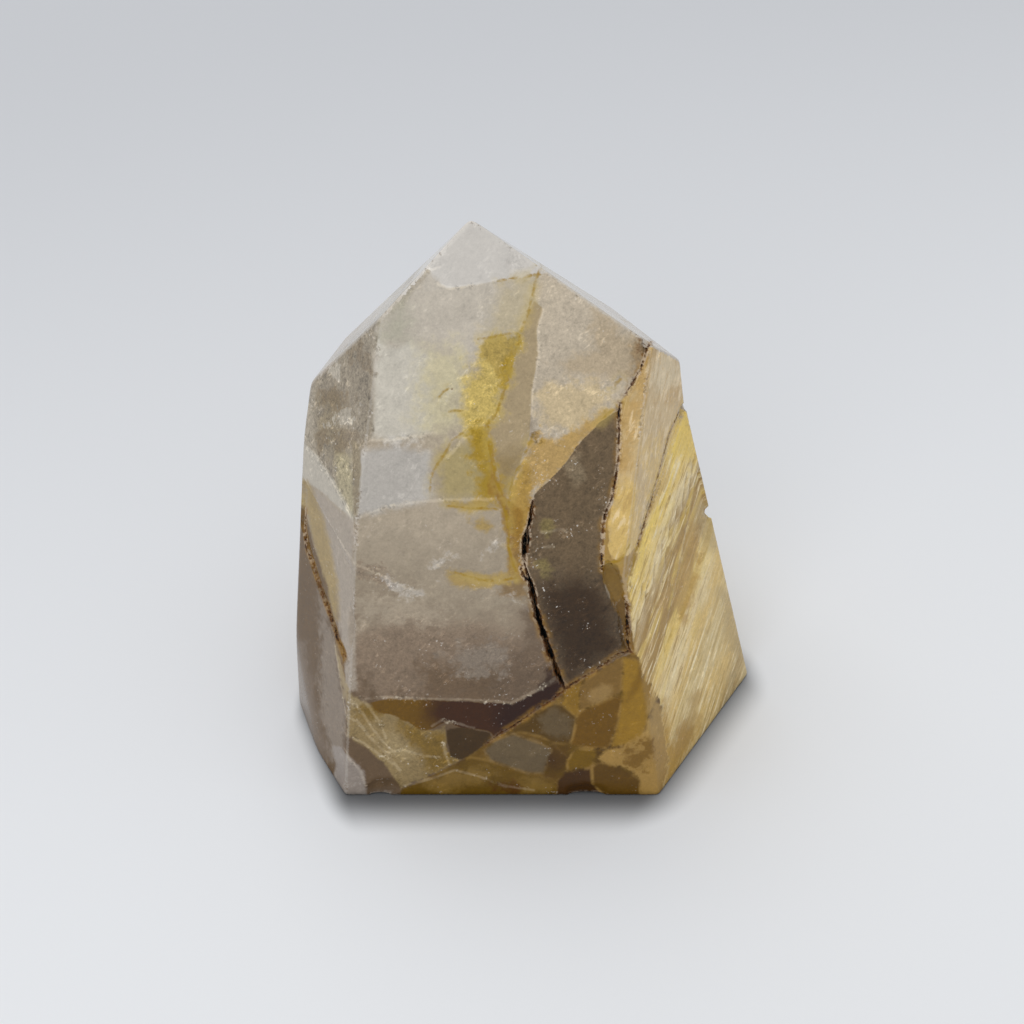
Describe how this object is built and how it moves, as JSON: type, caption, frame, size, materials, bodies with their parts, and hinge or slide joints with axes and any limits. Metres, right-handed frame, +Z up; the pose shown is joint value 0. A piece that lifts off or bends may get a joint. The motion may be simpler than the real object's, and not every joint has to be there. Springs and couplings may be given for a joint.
{
  "type": "golden healer quartz tower",
  "caption": "Stubby polished quartz point with a flat cut base and a faceted tip, cloudy grey with golden iron-stained seams and an open fissure.",
  "frame": {"origin": "middle of the flat cut base, on the surface that the stone stands on", "axes": "+Z up to the tip, -Y towards the broad front facet with the fissure, +X to the right of it"},
  "size_m": [0.0592, 0.0468, 0.0695],
  "materials": {
    "golden_quartz": "polished cloudy quartz, grey to white with golden yellow, tan and smoky brown zones"
  },
  "bodies": {
    "root": {"quartz_tower": "golden_quartz"}
  },
  "joints": []
}
